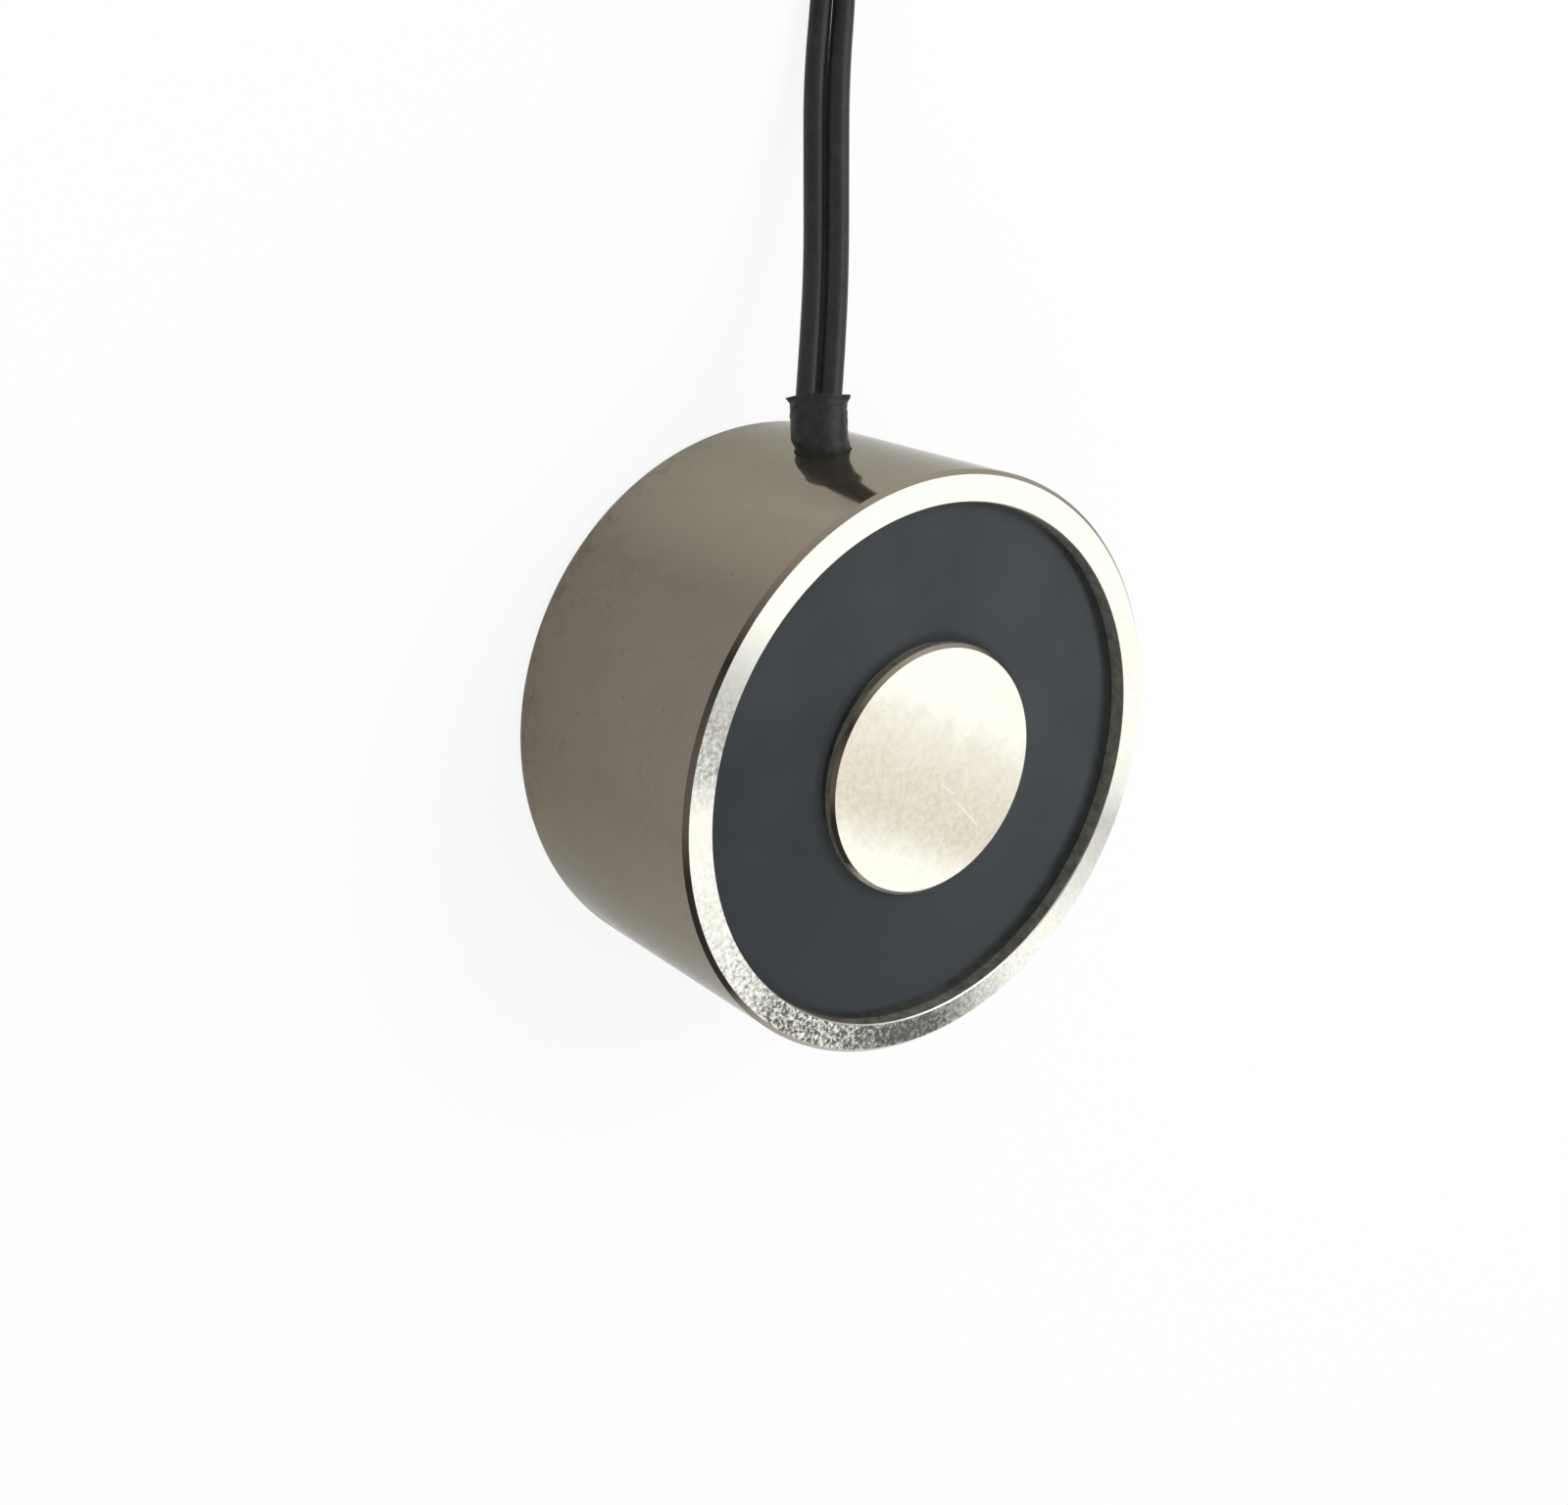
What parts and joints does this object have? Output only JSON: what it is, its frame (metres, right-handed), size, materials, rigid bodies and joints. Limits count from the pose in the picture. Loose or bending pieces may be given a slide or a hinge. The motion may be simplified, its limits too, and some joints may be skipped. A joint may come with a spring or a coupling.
{
  "type": "holding electromagnet",
  "caption": "Round holding electromagnet: a nickel-plated steel cup with a centre pole round a potted coil, a tapped hole in the back and side leads.",
  "frame": {"origin": "centre of the back face, at the mouth of the tapped hole", "axes": "+Z along the magnet's axis, from the back face to the holding face; -X towards the side where the leads leave the wall"},
  "size_m": [0.098, 0.04, 0.02],
  "materials": {
    "nickel_plated_steel": "polished nickel plate on the side wall, ground on the rim and the pole",
    "potting_epoxy": "cast, semi-gloss, slate black",
    "heat_shrink_tube": "shrunk tube, satin black",
    "lead_insulation": "extruded insulation, satin black",
    "bobbin_nylon": "moulded, natural",
    "enamelled_copper": "enamelled wire, laid in turns",
    "polyester_tape": "wrapped film tape",
    "splice_tubing": "thin insulating tube",
    "solder": "solder, dull",
    "tinned_copper": "tinned strands",
    "tie_nylon": "moulded, black"
  },
  "bodies": {
    "root": {"magnet_body": "nickel_plated_steel", "potting_resin": "potting_epoxy", "exit_sleeve": "heat_shrink_tube", "coil_bobbin": "bobbin_nylon", "coil_winding": "enamelled_copper", "winding_tape": "polyester_tape", "splice_joint_a": "solder", "splice_joint_b": "solder", "splice_sleeve_a": "splice_tubing", "splice_sleeve_b": "splice_tubing", "inner_lead_a": "lead_insulation", "inner_lead_b": "lead_insulation", "lead_a": "lead_insulation", "lead_b": "lead_insulation", "lead_coil": "lead_insulation", "lead_tail_a": "lead_insulation", "lead_tail_b": "lead_insulation", "tinned_end_a": "tinned_copper", "tinned_end_b": "tinned_copper", "coil_tie": "tie_nylon"}
  },
  "joints": []
}
